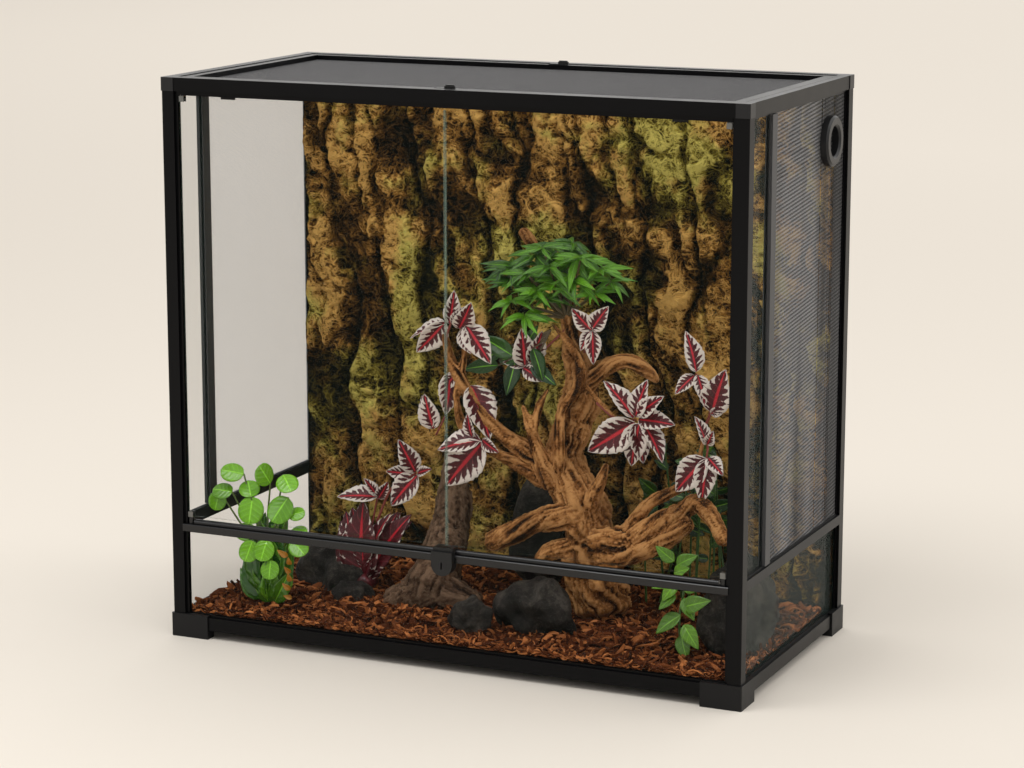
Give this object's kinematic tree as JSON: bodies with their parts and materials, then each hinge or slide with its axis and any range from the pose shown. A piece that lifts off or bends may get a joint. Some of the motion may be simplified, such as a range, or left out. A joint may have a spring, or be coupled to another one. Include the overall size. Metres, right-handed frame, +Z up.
{
  "type": "reptile terrarium",
  "caption": "Black framed display terrarium with glass double doors, screened sides and lid, bark background, driftwood and plants.",
  "frame": {"origin": "centre of the footprint at floor level", "axes": "+X to the right along the width, +Y from the doors to the back, +Z up"},
  "size_m": [0.9175, 0.4655, 0.85],
  "materials": {
    "frame_black": "satin black powder coat",
    "divider_grey": "satin dark grey",
    "foot_black": "satin",
    "cap_black": "satin",
    "clear_glass": "clear, polished edges",
    "dark_panel": "dark",
    "screen_grey": "fine woven screen, grey",
    "rubber_black": "black",
    "bark_brown": "carved foam, brown and olive",
    "pivot_steel": "bright",
    "lock_black": "satin black",
    "lock_steel": "satin",
    "port_black": "satin black",
    "chip_brown": "shredded red-brown bark",
    "wood_tan": "bleached and grooved",
    "log_brown": "weathered",
    "stone_grey": "artificial stone, rough",
    "leaf_green": "soft plastic leaves, waxy",
    "leaf_red": "soft plastic leaves, dark red with pale edges"
  },
  "bodies": {
    "cabinet": {"foot_front_left": "foot_black", "foot_front_right": "foot_black", "foot_back_left": "foot_black", "foot_back_right": "foot_black", "post_front_left": "frame_black", "post_front_right": "frame_black", "post_back_left": "frame_black", "post_back_right": "frame_black", "bottom_rail_front": "frame_black", "bottom_rail_back": "frame_black", "bottom_rail_left": "frame_black", "bottom_rail_right": "frame_black", "top_rail_front": "frame_black", "top_rail_back": "frame_black", "top_rail_left": "frame_black", "top_rail_right": "frame_black", "cap_front_left": "cap_black", "cap_front_right": "cap_black", "cap_back_left": "cap_black", "cap_back_right": "cap_black", "front_sill": "frame_black", "side_rail_left": "frame_black", "side_rail_right": "frame_black", "divider_left": "divider_grey", "divider_right": "divider_grey", "base_panel": "dark_panel", "front_glass": "clear_glass", "side_glass_left": "clear_glass", "side_glass_right": "clear_glass", "strip_glass_left": "clear_glass", "strip_glass_right": "clear_glass", "back_panel": "dark_panel", "side_screen_left": "screen_grey", "side_screen_right": "screen_grey", "side_gaskets": "rubber_black", "bark_background": "bark_brown", "door_stops": "rubber_black", "lock_case": "lock_black", "port_ring": "port_black", "port_backing": "port_black", "chip_bed": "chip_brown", "driftwood": "wood_tan", "root_log": "log_brown", "stones": "stone_grey", "round_leaf_plant": "leaf_green", "red_leaf_plants": "leaf_red", "leaf_bush": "leaf_green", "ground_vine": "leaf_green"},
    "door_left": {"door_glass_left": "clear_glass", "door_pivots_left": "pivot_steel"},
    "door_right": {"door_glass_right": "clear_glass", "door_pivots_right": "pivot_steel"},
    "lid": {"lid_frame": "frame_black", "lid_screen": "screen_grey", "latch_plates": "lock_black"},
    "latch_front": {"latch_knob_front": "lock_black"},
    "latch_back": {"latch_knob_back": "lock_black"},
    "lock_key_cylinder": {"lock_cylinder": "lock_steel"},
    "lock_slide_bolt": {"lock_bolt": "lock_steel"},
    "port_turning_shutter": {"port_shutter": "port_black"}
  },
  "joints": [
    {"name": "door_left_hinge", "type": "hinge", "parent": "cabinet", "child": "door_left", "pos_m": [-0.4243, -0.218, 0.5], "axis": [0, 0, -1], "range_deg": [0, 110]},
    {"name": "door_right_hinge", "type": "hinge", "parent": "cabinet", "child": "door_right", "pos_m": [0.4243, -0.218, 0.5], "axis": [0, 0, 1], "range_deg": [0, 110]},
    {"name": "lid_lift", "type": "slide", "parent": "cabinet", "child": "lid", "axis": [0, 0, 1], "range_m": [0, 0.06]},
    {"name": "latch_front_turn", "type": "hinge", "parent": "lid", "child": "latch_front", "pos_m": [0, -0.2013, 0.845], "axis": [0, 0, 1], "range_deg": [0, 90]},
    {"name": "latch_back_turn", "type": "hinge", "parent": "lid", "child": "latch_back", "pos_m": [0, 0.2013, 0.845], "axis": [0, 0, 1], "range_deg": [0, 90]},
    {"name": "lock_key_turn", "type": "hinge", "parent": "cabinet", "child": "lock_key_cylinder", "pos_m": [0, -0.234, 0.161], "axis": [0, -1, 0], "range_deg": [0, 90]},
    {"name": "lock_bolt_rise", "type": "slide", "parent": "cabinet", "child": "lock_slide_bolt", "axis": [0, 0, 1], "range_m": [0, 0.006]},
    {"name": "port_shutter_turn", "type": "hinge", "parent": "cabinet", "child": "port_turning_shutter", "pos_m": [0.448, 0.129, 0.757], "axis": [1, 0, 0], "range_deg": [0, 180]}
  ],
  "couplings": [
    {"joint": "lock_key_turn", "follows": "lock_bolt_rise", "rad_per_m": 261.8}
  ]
}
